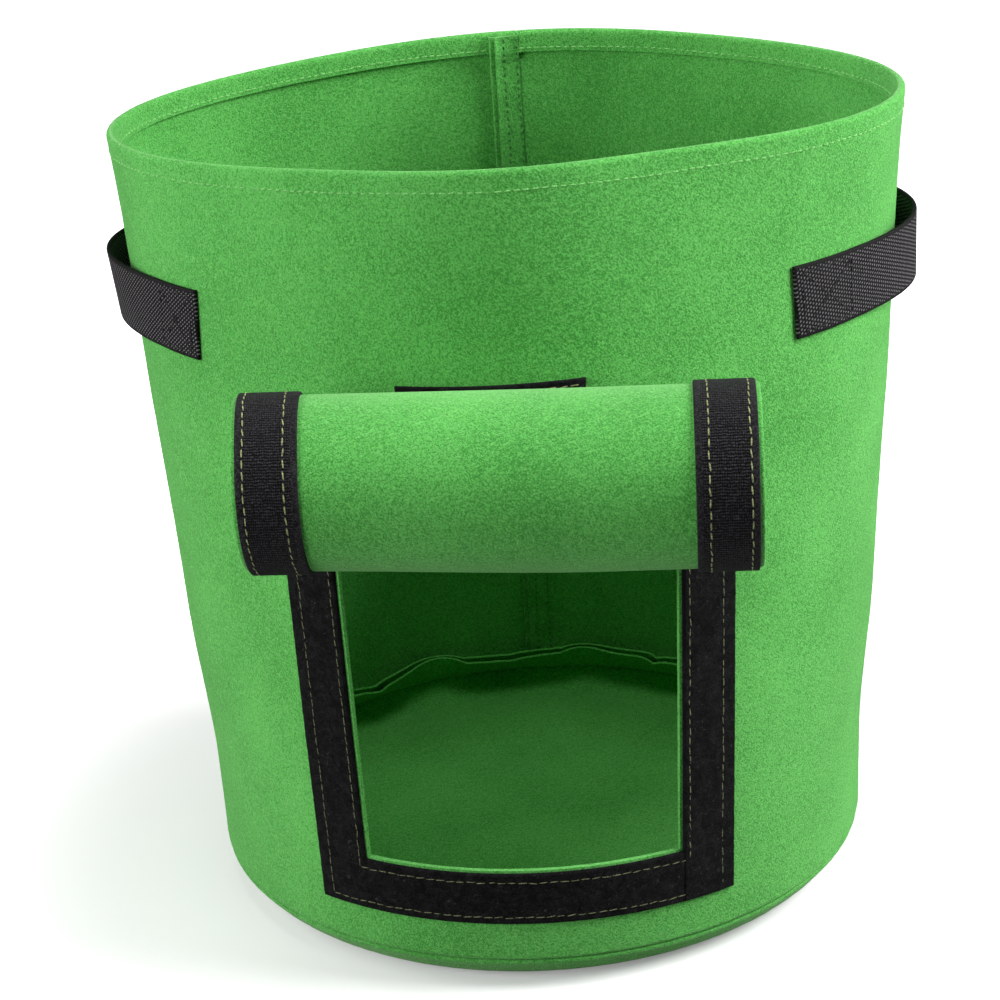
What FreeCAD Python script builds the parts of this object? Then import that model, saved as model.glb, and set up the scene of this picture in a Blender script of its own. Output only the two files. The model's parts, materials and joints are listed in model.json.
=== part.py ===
# Fabric grow bag: a round felt bag with an oval mouth, two webbing handles, and a
# harvest window in its front wall that a rolled-up felt flap closes.
# Millimetres. +Z is up, the window faces -Y, and the origin is the middle of the
# underside of the bottom disc.
import FreeCAD
import Part
import math
import os
from FreeCAD import Placement, Rotation, Vector

doc = FreeCAD.newDocument("grow_bag")

# Every driving size: name, value, what it is.
sizes = [
    ("baseRadius", 151.0, "radius of the round base"),
    ("bagHeight", 350.0, "floor to rim"),
    ("feltThick", 2.0, "needle-punched felt"),
    ("sewnGap", 0.2, "clearance between sewn layers"),
    ("baseRounding", 20.0, "radius where the felt turns under"),
    ("seamHeight", 14.0, "floor to the seam between the bottom and the wall"),
    ("mouthShift", -0.043, "mouth outline: first cosine term"),
    ("mouthOval", -0.123, "mouth outline: second cosine term"),
    ("mouthSkew", 0.018, "mouth outline: third cosine term"),
    ("mouthPoint", 0.036, "mouth outline: fourth cosine term"),
    ("flarePower", 1.8, "how the circle turns into the oval with height"),
    ("hemHeight", 10.0, "folded top hem"),
    ("hemStitchDrop", 8.5, "rim to the hem's stitch row"),
    ("backSeamWidth", 14.0, "turned-over back seam"),
    ("allowanceWidth", 17.0, "bottom seam allowance"),
    ("windowBottom", 58.0, "floor to the opening"),
    ("windowDrop", 134.0, "rim to the top of the opening"),
    ("windowHalfLow", 66.5, "half width of the opening at its bottom"),
    ("windowHalfHigh", 70.5, "half width of the opening at its top"),
    ("tapeWidth", 24.0, "hook and loop tape"),
    ("sideTapeReach", 21.5, "width of a side tape seen from the front"),
    ("tapeThick", 1.6, "loop tape with its pile"),
    ("tapeInset", 1.0, "felt edge left bare beside a tape"),
    ("hingeRise", 18.0, "top of the opening to the flap's fold line"),
    ("frameGap", 4.0, "top of the side tapes to the fold line"),
    ("keeperLength", 75.0, "keeper tape above the flap"),
    ("keeperRise", 12.5, "fold line to the keeper tape"),
    ("keeperInset", 2.0, "keeper tape's edge to its stitch row"),
    ("flapOverlap", 5.0, "closed flap beyond the side tapes"),
    ("flapSeamHeight", 10.5, "strip of the flap sewn to the wall"),
    ("flapLow", 28.0, "floor to the free edge of the closed flap"),
    ("stripGap", 0.15, "clearance at each end of a strip"),
    ("stripTurn", 28.5, "degrees between rolled strips"),
    ("rollClear", 0.8, "clearance of the flap in front of the tapes"),
    ("hookThick", 1.5, "hook tape"),
    ("bottomTapeWidth", 16.0, "hook tape along the flap's free edge"),
    ("webWidth", 30.0, "handle webbing"),
    ("webThick", 2.0, "handle webbing"),
    ("webDrop", 68.5, "rim to the middle of the webbing"),
    ("tabLength", 30.0, "sewn end of a handle"),
    ("loopFront", 61.5, "middle of the bag to the front end of a loop"),
    ("loopBack", 73.0, "middle of the bag to the rear end of a loop"),
    ("loopBow", 9.0, "finger gap behind the loop"),
    ("loopClear", 0.4, "clearance of the free loop"),
    ("threadThick", 0.5, "how far a stitch stands up"),
    ("threadWidth", 0.9, "width of a stitch row"),
    ("stitchInset", 3.0, "edge of a layer to its stitch row"),
]
stripCount = 12

# How finely the felt is built: points round a ring, rings up a form, and the angle
# round the bag at which a ring starts, behind, where nothing is sewn on.
ringPoints = 48
formLevels = 7
ringStart = math.radians(160)

sheet = doc.addObject("Spreadsheet::Sheet", "Sizes")


def note(row, name, number, words):
    """Write one row of the sheet and give its value an alias."""
    sheet.set("A%d" % row, name)
    sheet.set("B%d" % row, str(number))
    sheet.set("C%d" % row, words)
    sheet.setAlias("B%d" % row, name)


for row, (name, number, words) in enumerate(sizes, start=1):
    note(row, name, number, words)
doc.recompute()


def size(name):
    return float(sheet.get(name))


feltThick = size("feltThick")
sewnGap = size("sewnGap")
threadThick = size("threadThick")
bagHeight = size("bagHeight")
cutOverrun = 6.0
aboveRim = bagHeight + cutOverrun
hingeLevel = bagHeight - size("windowDrop") + size("hingeRise")
webLevel = bagHeight - size("webDrop")


# The felt form: a circle at the floor that turns into the oval mouth at one girth.

def mouth(angle):
    """Shape of the mouth's outline, before it is scaled; angle 0 is the front (-Y)."""
    return (1.0 + size("mouthShift") * math.cos(angle) + size("mouthOval") * math.cos(2 * angle)
            + size("mouthSkew") * math.cos(3 * angle) + size("mouthPoint") * math.cos(4 * angle))


def mouthGirth(steps=360):
    angles = [2 * math.pi * step / steps for step in range(steps + 1)]
    points = [Vector(mouth(a) * math.sin(a), -mouth(a) * math.cos(a), 0) for a in angles]
    return sum(first.distanceToPoint(second) for first, second in zip(points, points[1:]))


mouthScale = 2 * math.pi / mouthGirth()


def wallRadius(angle, level):
    """Radius of the wall's outer face at an angle round the bag and a height."""
    share = (max(level, 0.0) / bagHeight) ** size("flarePower")
    return size("baseRadius") * (1.0 - share + share * mouthScale * mouth(angle))


def ringWire(level, offset):
    """One closed spline round the bag; offset(angle) is added to the wall's radius."""
    points = []
    for step in range(ringPoints):
        angle = (ringStart + 2 * math.pi * step / ringPoints) % (2 * math.pi)
        r = wallRadius(angle, level) + offset(angle)
        points.append(Vector(r * math.sin(angle), -r * math.cos(angle), level))
    curve = Part.BSplineCurve()
    knots = [step / ringPoints for step in range(ringPoints + 1)]
    curve.interpolate(Points=points, PeriodicFlag=True, Parameters=knots)
    return Part.Wire([curve.toShape()])


def feltForm(name, offset, low, high, rounding=0.0):
    """A solid that follows the wall's outer face at an offset, with a rounded foot."""
    levels = [low + (high - low) * step / (formLevels - 1) for step in range(formLevels)]
    solid = Part.makeLoft([ringWire(level, offset) for level in levels], True, False)
    if rounding > 0:
        foot = [edge for edge in solid.Edges if abs(edge.BoundBox.ZMax - low) < 0.01]
        solid = solid.makeFillet(rounding, foot)
    form = doc.addObject("Part::Feature", name)
    form.Shape = solid
    return form


def even(distance):
    return lambda angle: distance


def outerSkin(name, near, far):
    """A layer outside the wall, from near to far off its outer face."""
    return boolean("Cut", name, feltForm(name + "Far", even(far), 0.0, bagHeight),
                   feltForm(name + "Near", even(near), 0.0, bagHeight))


def innerSkin(name, near, far):
    """A layer inside the wall, from near to far behind its outer face."""
    return boolean("Cut", name, feltForm(name + "Near", even(-near), feltThick, aboveRim),
                   feltForm(name + "Far", even(-far), feltThick, aboveRim))


# Builders for the other shapes. A pair is the low and the high side, as expressions.

# reach of the tool bodies that cut the front wall, and of those that cut all round
frontNear = "Sizes.baseRadius / 3"
frontFar = "Sizes.baseRadius * 4 / 3"
frontY = ("-(%s)" % frontFar, "-(%s)" % frontNear)
allAcross = ("-(%s)" % frontFar, frontFar)
backHalf = ("0", allAcross[1])


def block(name, x, y, z):
    """A box between the low and the high side on each axis."""
    made = doc.addObject("Part::Box", name)
    for side, axis, (low, high) in (("Length", "x", x), ("Width", "y", y), ("Height", "z", z)):
        made.setExpression(side, "(%s) - (%s)" % (high, low))
        made.setExpression(".Placement.Base." + axis, low)
    return made


def leaningBlock(name, z, lowX, highX):
    """A prism through the front wall, with its x limits at its lowest and highest level."""
    made = doc.addObject("Part::Wedge", name)
    rules = {"Ymin": z[0], "Ymax": z[1], "Xmin": lowX[0], "Xmax": lowX[1],
             "X2min": highX[0], "X2max": highX[1],
             "Zmin": frontNear, "Z2min": frontNear, "Zmax": frontFar, "Z2max": frontFar}
    for key, rule in rules.items():
        made.setExpression(key, rule)
    made.Placement = Placement(Vector(0, 0, 0), Rotation(Vector(1, 0, 0), 90))
    return made


def placedBlock(name, x, y, z, placement):
    """A box between the low and the high side on each axis of a placement's own frame."""
    made = doc.addObject("Part::Wedge", name)
    rules = {"Xmin": x[0], "X2min": x[0], "Xmax": x[1], "X2max": x[1], "Ymin": y[0], "Ymax": y[1],
             "Zmin": z[0], "Z2min": z[0], "Zmax": z[1], "Z2max": z[1]}
    for key, rule in rules.items():
        made.setExpression(key, rule)
    made.Placement = placement
    return made


def drum(name, radius, low, tall):
    """An upright cylinder on the bag's axis."""
    made = doc.addObject("Part::Cylinder", name)
    made.setExpression("Radius", radius)
    made.setExpression("Height", tall)
    made.setExpression(".Placement.Base.z", low)
    return made


def boolean(kind, name, base, tool):
    made = doc.addObject("Part::" + kind, name)
    made.Base = base
    made.Tool = tool
    return made


def common(name, *shapes):
    made = doc.addObject("Part::MultiCommon", name)
    made.Shapes = list(shapes)
    return made


def together(name, *pieces):
    made = doc.addObject("Part::Compound", name)
    made.Links = list(pieces)
    return made


parts = []


def piece(made, label):
    """Name a finished sub-part; the label is also the name of its file."""
    made.Label = label
    parts.append(made)


# Felt body: the wall panel, the bottom disc and their seams.

windowTop = "(Sizes.bagHeight - Sizes.windowDrop)"


def windowHalf(level, extra):
    """Expression for the half width of the opening at a level, plus extra."""
    return ("Sizes.windowHalfLow + ((%s) - Sizes.windowBottom) "
            "* (Sizes.windowHalfHigh - Sizes.windowHalfLow) "
            "/ (%s - Sizes.windowBottom) + (%s)" % (level, windowTop, extra))


outerForm = feltForm("outerForm", even(0.0), 0.0, bagHeight, size("baseRounding"))
hollowForm = feltForm("hollowForm", even(-feltThick), feltThick, aboveRim,
                      size("baseRounding") - feltThick)
shell = boolean("Cut", "shell", outerForm, hollowForm)
opening = leaningBlock("opening", ("Sizes.windowBottom", windowTop),
                       ("-Sizes.windowHalfLow", "Sizes.windowHalfLow"),
                       ("-Sizes.windowHalfHigh", "Sizes.windowHalfHigh"))
allowanceLow = "Sizes.seamHeight + Sizes.sewnGap"
allowanceHigh = allowanceLow + " + Sizes.feltThick"
shellOpened = boolean("Cut", "shellOpened", shell, opening)
piece(boolean("Cut", "wallPanel", shellOpened,
              block("belowWall", allAcross, allAcross, ("-Sizes.feltThick", allowanceLow))),
      "wall_panel")
piece(common("bottomDisc", shell,
             block("belowSeam", allAcross, allAcross, ("-Sizes.feltThick", "Sizes.seamHeight"))),
      "bottom_disc")

# the sewn-together edges of the wall and the disc stand inwards from their seam
allowanceForm = feltForm("allowanceForm", even(-feltThick - sewnGap), feltThick + sewnGap, aboveRim,
                         size("baseRounding") - feltThick - sewnGap)
allowanceOut = "Sizes.baseRadius - Sizes.feltThick - Sizes.sewnGap"
threadOut = allowanceOut + " - Sizes.feltThick - Sizes.stitchInset"
piece(boolean("Cut", "bottomAllowance",
              common("allowanceBand", allowanceForm,
                     block("allowanceLevels", allAcross, allAcross, (allowanceLow, allowanceHigh))),
              drum("allowanceHole", allowanceOut + " - Sizes.allowanceWidth", "0",
                   "Sizes.seamHeight * 2")),
      "bottom_seam_allowance")
piece(boolean("Cut", "bottomThread",
              drum("bottomThreadOuter", threadOut, allowanceHigh, "Sizes.threadThick"),
              drum("bottomThreadInner", threadOut + " - Sizes.threadWidth", allowanceHigh,
                   "Sizes.threadThick")),
      "bottom_seam_thread")

hemInside = 2 * feltThick + sewnGap
hemSkin = innerSkin("hemSkin", feltThick + sewnGap, hemInside)
hemLow = "Sizes.bagHeight - Sizes.hemHeight"
piece(common("topHem", hemSkin, block("hemBand", allAcross, allAcross, (hemLow, "Sizes.bagHeight"))),
      "top_hem_fold")

# the two felt edges of the back seam lie one on the other, turned to the -X side
seamInside = 3 * feltThick + sewnGap
seamSkin = innerSkin("seamSkin", feltThick + sewnGap, seamInside)
seamZ = ("Sizes.baseRounding + 2 * Sizes.feltThick", hemLow)
piece(common("backSeam", seamSkin, block("seamStrip", ("-Sizes.backSeamWidth", "0"), backHalf, seamZ)),
      "back_seam_allowance")

# Loop tapes round the opening, and the keeper tape above the flap.

hinge = "(%s + Sizes.hingeRise)" % windowTop
frameTop = hinge + " - Sizes.frameGap"
tapeTop = "Sizes.windowBottom - Sizes.tapeInset"
frameLow = tapeTop + " - Sizes.tapeWidth"
tapeReach = "Sizes.tapeInset + Sizes.sideTapeReach"
tapeOut = sewnGap + size("tapeThick")
tapeSkin = outerSkin("tapeSkin", sewnGap, tapeOut)


def sideBand(name, sign, levels, near, far):
    """A leaning prism along one side of the opening, from near to far beyond its edge."""
    limits = []
    for level in levels:
        first = windowHalf(level, near)
        last = windowHalf(level, far)
        limits.append((first, last) if sign > 0 else ("-(%s)" % last, "-(%s)" % first))
    return leaningBlock(name, levels, limits[0], limits[1])


def acrossBand(name, low, high, reach):
    """A prism across the front, reaching the same way beyond both sides of the opening."""
    lowHalf = windowHalf(low, reach)
    highHalf = windowHalf(high, reach)
    return leaningBlock(name, (low, high), ("-(%s)" % lowHalf, lowHalf), ("-(%s)" % highHalf, highHalf))


for side, sign in (("left", -1), ("right", 1)):
    band = sideBand(side + "Band", sign, (frameLow, frameTop), "Sizes.tapeInset", tapeReach)
    piece(common(side + "FrameTape", tapeSkin, band), "frame_tape_" + side)
bottomBand = acrossBand("bottomBand", frameLow, tapeTop, "Sizes.tapeInset")
piece(common("bottomFrameTape", tapeSkin, bottomBand), "frame_tape_bottom")

keeperLow = hinge + " + Sizes.keeperRise"
keeperTop = keeperLow + " + Sizes.tapeWidth"


def keeperBlock(name, inset):
    half = "Sizes.keeperLength / 2 - (%s)" % inset
    return block(name, ("-(%s)" % half, half), frontY,
                 (keeperLow + " + (%s)" % inset, keeperTop + " - (%s)" % inset))


piece(common("keeperTape", tapeSkin, keeperBlock("keeperBlock", "0")), "keeper_tape")

# The flap's head: sewn to the round wall, and led out to the straight fold line.

hingeForward = (wallRadius(0.0, hingeLevel) + size("tapeThick") + size("hookThick")
                + feltThick / 2 + size("rollClear"))
note(len(sizes) + 1, "hingeForward", hingeForward, "bag's axis to the flap's fold line")
doc.recompute()

flapHalf = "Sizes.windowHalfHigh + %s + Sizes.flapOverlap" % tapeReach
flapX = ("-(%s)" % flapHalf, flapHalf)
headLow = hinge + " - Sizes.feltThick / 2"
headTop = hinge + " + Sizes.flapSeamHeight"
headFront = "-(Sizes.hingeForward - Sizes.feltThick / 2 - 2 * Sizes.stripGap)"
headOut = sewnGap + feltThick
headStrip = common("headStrip", feltForm("headForm", even(headOut), 0.0, bagHeight),
                   block("headBlock", flapX, frontY, (headLow, headTop)))
headShelf = block("headShelf", flapX, (headFront, frontY[1]), (headLow, headLow + " + Sizes.feltThick"))
headWhole = boolean("Fuse", "headWhole", headStrip, headShelf)
headWall = feltForm("headWall", even(sewnGap), 0.0, bagHeight)
piece(boolean("Cut", "flapHead", headWhole, headWall), "flap_head")

# The flap: twelve strips, each hinged to the one before. A strip's own frame has x
# across the flap, y through the felt towards its hook tape, and -z away from the seam.


def closedLean():
    """Degrees off vertical at which the closed flap just clears the bottom loop tape."""
    leans = []
    steps = 5
    for step in range(steps + 1):
        level = size("flapLow") + (size("windowBottom") - size("flapLow")) * step / steps
        forward = (wallRadius(0.0, level) + tapeOut + size("hookThick") + feltThick / 2
                   + size("rollClear") - hingeForward)
        leans.append(math.degrees(math.atan2(forward, hingeLevel - level)))
    return max(leans)


lean = closedLean()
stripLength = (hingeLevel - size("flapLow")) / math.cos(math.radians(lean)) / stripCount
note(len(sizes) + 2, "stripLength", stripLength, "one twelfth of the free flap")
doc.recompute()
bevel = "Sizes.feltThick / 2 * tan(Sizes.stripTurn / 2 * 1 deg)"
stripEnd = "-(Sizes.stripLength - Sizes.stripGap)"


def stripDirection(index):
    """Degrees from straight down, turning outwards, of a strip in the rolled flap."""
    return lean + (index + 1) * size("stripTurn")


def stripPlacement(index):
    y = -hingeForward
    z = hingeLevel
    for before in range(index):
        turn = math.radians(stripDirection(before))
        y -= stripLength * math.sin(turn)
        z -= stripLength * math.cos(turn)
    return Placement(Vector(0, y, z), Rotation(Vector(1, 0, 0), -stripDirection(index)))


def tapeOnStrip(name, index, x, z):
    """A length of hook tape on the outer face of a rolled strip."""
    y = ("Sizes.feltThick / 2", "Sizes.feltThick / 2 + Sizes.hookThick")
    return placedBlock(name, x, y, z, stripPlacement(index))


sideTapeOut = flapHalf + " - Sizes.tapeInset"
sideTapeIn = sideTapeOut + " - Sizes.tapeWidth"
for index in range(stripCount):
    number = "%02d" % (index + 1)
    strip = doc.addObject("Part::Wedge", "flapStrip" + number)
    rules = {"Xmin": flapX[0], "X2min": flapX[0], "Xmax": flapX[1], "X2max": flapX[1],
             "Ymin": "-Sizes.feltThick / 2", "Ymax": "Sizes.feltThick / 2",
             "Zmin": stripEnd + " + " + bevel, "Zmax": "-Sizes.stripGap - " + bevel,
             "Z2min": stripEnd, "Z2max": "-Sizes.stripGap"}
    for key, rule in rules.items():
        strip.setExpression(key, rule)
    strip.Placement = stripPlacement(index)
    piece(strip, "flap_strip_" + number)
    # the first tapes stop short of the fold line, so that they clear the sewn head
    tapeStart = "-Sizes.stripGap - Sizes.feltThick" if index == 0 else "-Sizes.stripGap"
    tapeZ = (stripEnd, tapeStart)
    left = tapeOnStrip("flapTapeLeft" + number, index, ("-(%s)" % sideTapeOut, "-(%s)" % sideTapeIn), tapeZ)
    right = tapeOnStrip("flapTapeRight" + number, index, (sideTapeIn, sideTapeOut), tapeZ)
    piece(together("flapTapes" + number, left, right), "flap_side_tapes_" + number)
freeEdgeX = ("-(%s)" % sideTapeIn, sideTapeIn)
freeEdgeZ = (stripEnd, stripEnd + " + Sizes.bottomTapeWidth")
piece(tapeOnStrip("flapBottomTape", stripCount - 1, freeEdgeX, freeEdgeZ), "flap_bottom_tape")

# Handles: two sewn tabs and a free loop on each side.

webThick = size("webThick")
webMiddle = "(Sizes.bagHeight - Sizes.webDrop)"
webZ = (webMiddle + " - Sizes.webWidth / 2", webMiddle + " + Sizes.webWidth / 2")


def angleAtY(target):
    """The angle round the bag at which the wall has this y, at the webbing's height."""
    halvings = 60
    low = 0.0
    high = math.pi
    for _ in range(halvings):
        middle = (low + high) / 2
        if -wallRadius(middle, webLevel) * math.cos(middle) < target:
            low = middle
        else:
            high = middle
    return (low + high) / 2


frontAngle = angleAtY(-size("loopFront"))
backAngle = angleAtY(size("loopBack"))


def loopOffset(extra):
    """The free loop bows away from the wall between the two tabs, most at its middle."""
    def offset(angle):
        folded = min(angle, 2 * math.pi - angle)
        share = (folded - frontAngle) / (backAngle - frontAngle)
        bow = math.sin(math.pi * share) ** 2 if 0 < share < 1 else 0.0
        return extra + size("loopClear") + size("loopBow") * bow
    return offset


webOut = sewnGap + webThick
webSkin = outerSkin("webSkin", sewnGap, webOut)
webThreadSkin = outerSkin("webThreadSkin", webOut + sewnGap, webOut + sewnGap + threadThick)
loopSkin = boolean("Cut", "loopSkin", feltForm("loopOuter", loopOffset(webThick), 0.0, bagHeight),
                   feltForm("loopInner", loopOffset(0.0), 0.0, bagHeight))


def wallPoint(sign, angle):
    r = wallRadius(angle, webLevel)
    return Vector(sign * r * math.sin(angle), -r * math.cos(angle), 0)


def tabBlock(name, sign, angle, away, inset):
    """A box square to the wall over a sewn end, from the loop's edge backwards: away is
    -1 for a front tab and 1 for a rear one, and inset shrinks the box all round."""
    nearby = 0.01
    start = wallPoint(sign, angle)
    run = wallPoint(sign, angle + away * nearby) - start
    along = Rotation(Vector(0, 0, 1), math.degrees(math.atan2(run.y, run.x)))
    x = (inset, "Sizes.tabLength - (%s)" % inset)
    z = (webZ[0] + " + (%s)" % inset, webZ[1] + " - (%s)" % inset)
    return placedBlock(name, x, ("-Sizes.tabLength / 2", "Sizes.tabLength / 2"), z,
                       Placement(start, along))


threadInset = "Sizes.stitchInset"
threadInner = "Sizes.stitchInset + Sizes.threadWidth"
for side, sign in (("left", -1), ("right", 1)):
    halfX = backHalf if sign > 0 else (allAcross[0], "0")
    threads = []
    for end, angle, away, reachY in (("front", frontAngle, -1, (allAcross[0], "-Sizes.loopFront")),
                                     ("rear", backAngle, 1, ("Sizes.loopBack", allAcross[1]))):
        tag = side + end.capitalize()
        reach = block(tag + "Reach", halfX, reachY, webZ)
        tab = common(tag + "Tab", webSkin, tabBlock(tag + "TabBox", sign, angle, away, "0"), reach)
        piece(tab, "%s_handle_%s_tab" % (side, end))
        outline = boolean("Cut", tag + "Outline", tabBlock(tag + "Outer", sign, angle, away, threadInset),
                          tabBlock(tag + "Inner", sign, angle, away, threadInner))
        threads.append(common(tag + "Thread", webThreadSkin, outline))
    piece(together(side + "HandleThread", *threads), side + "_handle_thread")
    loopY = ("-Sizes.loopFront + Sizes.sewnGap", "Sizes.loopBack - Sizes.sewnGap")
    piece(common(side + "Loop", loopSkin, block(side + "LoopReach", halfX, loopY, webZ)),
          side + "_handle_loop")

# Thread rows on the felt and on the tapes.

hemRow = "Sizes.bagHeight - Sizes.hemStitchDrop"
hemLine = block("hemLine", allAcross, allAcross, (hemRow, hemRow + " + Sizes.threadWidth"))
hemThreadOut = outerSkin("hemThreadOut", sewnGap, sewnGap + threadThick)
hemThreadIn = innerSkin("hemThreadIn", hemInside + sewnGap, hemInside + sewnGap + threadThick)
piece(together("hemThread", common("hemThreadOutside", hemThreadOut, hemLine),
               common("hemThreadInside", hemThreadIn, hemLine)), "hem_thread")

seamThreadSkin = innerSkin("seamThreadSkin", seamInside + sewnGap, seamInside + sewnGap + threadThick)
seamRows = []
for row, start in (("Near", "-Sizes.stitchInset"), ("Far", "-Sizes.backSeamWidth + Sizes.stitchInset")):
    line = block("backSeamLine" + row, (start, start + " + Sizes.threadWidth"), backHalf, seamZ)
    seamRows.append(common("backSeamThread" + row, seamThreadSkin, line))
piece(together("backSeamThread", *seamRows), "back_seam_thread")

tapeThreadSkin = outerSkin("tapeThreadSkin", tapeOut + sewnGap, tapeOut + sewnGap + threadThick)
innerRow = "Sizes.tapeInset + Sizes.stitchInset"
outerRow = tapeReach + " - Sizes.stitchInset - Sizes.threadWidth"
lowRow = frameLow + " + Sizes.stitchInset"
highRow = tapeTop + " - Sizes.stitchInset - Sizes.threadWidth"
rowTop = frameTop + " - Sizes.stitchInset"
frameRows = []
for side, sign in (("left", -1), ("right", 1)):
    for row, reach, start in (("Inner", innerRow, highRow), ("Outer", outerRow, lowRow)):
        levels = (start + " + Sizes.threadWidth + Sizes.sewnGap", rowTop)
        line = sideBand(side + row + "Line", sign, levels, reach, reach + " + Sizes.threadWidth")
        frameRows.append(common(side + row + "Thread", tapeThreadSkin, line))
for row, level, reach in (("Low", lowRow, outerRow), ("High", highRow, innerRow)):
    line = acrossBand("across" + row + "Line", level, level + " + Sizes.threadWidth",
                      reach + " + Sizes.threadWidth")
    frameRows.append(common("across" + row + "Thread", tapeThreadSkin, line))
piece(together("frameThread", *frameRows), "frame_thread")

keeperOutline = boolean("Cut", "keeperOutline", keeperBlock("keeperOuter", "Sizes.keeperInset"),
                        keeperBlock("keeperInner", "Sizes.keeperInset + Sizes.threadWidth"))
piece(common("keeperThread", tapeThreadSkin, keeperOutline), "keeper_thread")

flapRow = hinge + " + Sizes.flapSeamHeight / 2"
flapLine = block("flapLine", flapX, frontY, (flapRow, flapRow + " + Sizes.threadWidth"))
flapThreadSkin = outerSkin("flapThreadSkin", headOut + sewnGap, headOut + sewnGap + threadThick)
piece(common("flapSeamThread", flapThreadSkin, flapLine), "flap_seam_thread")

# Every object must compute and every sub-part be a sound solid before it is written.

doc.recompute()
for made in doc.Objects:
    if {"Invalid", "Error"} & set(made.State):
        raise RuntimeError("%s did not compute: %s" % (made.Label, made.State))
for made in parts:
    if made.Shape.isNull() or not made.Shape.isValid() or not made.Shape.Solids:
        raise RuntimeError("%s has no sound solid" % made.Label)

os.makedirs("parts", exist_ok=True)
for made in parts:
    made.Shape.exportStep("parts/%s.step" % made.Label)
    print("%-26s solids %d  volume %9.1f" % (made.Label, len(made.Shape.Solids), made.Shape.Volume))
print("fold line at y %.3f z %.3f, lean %.4f, strip %.4f" % (-hingeForward, hingeLevel, lean, stripLength))
print(len(parts), "sub-parts")
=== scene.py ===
import json
import math

import bpy
import numpy as np
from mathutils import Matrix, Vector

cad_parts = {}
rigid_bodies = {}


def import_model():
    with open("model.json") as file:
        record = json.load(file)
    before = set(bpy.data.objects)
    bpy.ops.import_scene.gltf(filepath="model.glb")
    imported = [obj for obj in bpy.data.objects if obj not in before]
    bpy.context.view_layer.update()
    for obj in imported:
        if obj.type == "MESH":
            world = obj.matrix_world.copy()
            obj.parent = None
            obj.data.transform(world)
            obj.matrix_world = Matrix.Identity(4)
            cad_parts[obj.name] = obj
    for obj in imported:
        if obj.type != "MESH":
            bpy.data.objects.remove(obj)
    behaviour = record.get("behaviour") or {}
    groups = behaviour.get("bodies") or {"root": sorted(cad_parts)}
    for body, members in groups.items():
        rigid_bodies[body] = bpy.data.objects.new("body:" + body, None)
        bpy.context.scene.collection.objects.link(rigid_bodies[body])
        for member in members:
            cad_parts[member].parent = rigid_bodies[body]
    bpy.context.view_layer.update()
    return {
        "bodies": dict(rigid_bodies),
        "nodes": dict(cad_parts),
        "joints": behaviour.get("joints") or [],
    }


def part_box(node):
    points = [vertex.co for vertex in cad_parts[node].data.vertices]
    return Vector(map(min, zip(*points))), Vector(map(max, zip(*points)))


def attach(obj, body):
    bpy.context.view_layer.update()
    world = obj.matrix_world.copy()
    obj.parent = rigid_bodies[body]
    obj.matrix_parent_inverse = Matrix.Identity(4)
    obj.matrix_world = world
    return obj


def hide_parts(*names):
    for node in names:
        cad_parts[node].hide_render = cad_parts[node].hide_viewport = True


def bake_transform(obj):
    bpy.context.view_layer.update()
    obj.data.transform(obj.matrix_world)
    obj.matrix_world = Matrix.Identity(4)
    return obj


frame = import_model()
joints = {joint["name"]: joint for joint in frame["joints"]}
stripCount = sum(name.startswith("flap_row") for name in frame["bodies"])
mm = 0.001
uvPerMm = 0.01
print("frame loaded,", len(frame["nodes"]), "nodes")


def cadSpan(node):
    # lowest and highest corner of a node, in millimetres
    low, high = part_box(node)
    return np.array(low) / mm, np.array(high) / mm


def smoothStep(t):
    t = np.clip(t, 0, 1)
    return t * t * (3 - 2 * t)


def putInScene(name, data):
    thing = bpy.data.objects.new(name, data)
    bpy.context.scene.collection.objects.link(thing)
    return thing


def buildMesh(name, points, quads, tris=None, uvs=None, sharpAngle=50):
    # points in millimetres, faces as index arrays, uvs one pair per point; a quad whose first
    # two corners are one point, at a pole, becomes a triangle
    pole = quads[:, 0] == quads[:, 1]
    tips = quads[pole][:, 1:]
    tris = tips if tris is None else np.concatenate([tris, tips])
    quads = quads[~pole]
    used, faces = np.unique(np.concatenate([quads.ravel(), tris.ravel()]), return_inverse=True)
    faces = faces.ravel()
    quads, tris = faces[:quads.size].reshape(-1, 4), faces[quads.size:].reshape(-1, 3)
    points = points[used]
    # six times the volume that the faces enclose is negative if the skin is inside out
    fans = np.concatenate([quads[:, [0, 1, 2]], quads[:, [0, 2, 3]], tris])
    corners = points[fans]
    if np.einsum("ij,ij->i", corners[:, 0], np.cross(corners[:, 1], corners[:, 2])).sum() < 0:
        quads, tris = quads[:, ::-1], tris[:, ::-1]
    loops = np.concatenate([quads.ravel(), tris.ravel()])
    starts = np.concatenate([4 * np.arange(len(quads)), quads.size + 3 * np.arange(len(tris))])
    mesh = bpy.data.meshes.new(name)
    mesh.vertices.add(len(points))
    mesh.vertices.foreach_set("co", (points * mm).astype(np.float32).ravel())
    mesh.loops.add(len(loops))
    mesh.loops.foreach_set("vertex_index", loops.astype(np.int32))
    mesh.polygons.add(len(starts))
    mesh.polygons.foreach_set("loop_start", starts.astype(np.int32))
    mesh.update(calc_edges=True)
    mesh.polygons.foreach_set("use_smooth", np.ones(len(starts), bool))
    if uvs is not None:
        layer = mesh.uv_layers.new(name="UVMap")
        layer.data.foreach_set("uv", uvs[used][loops].astype(np.float32).ravel())
    mesh.set_sharp_from_angle(angle=math.radians(sharpAngle))
    mesh.validate()
    return putInScene(name, mesh)


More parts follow.
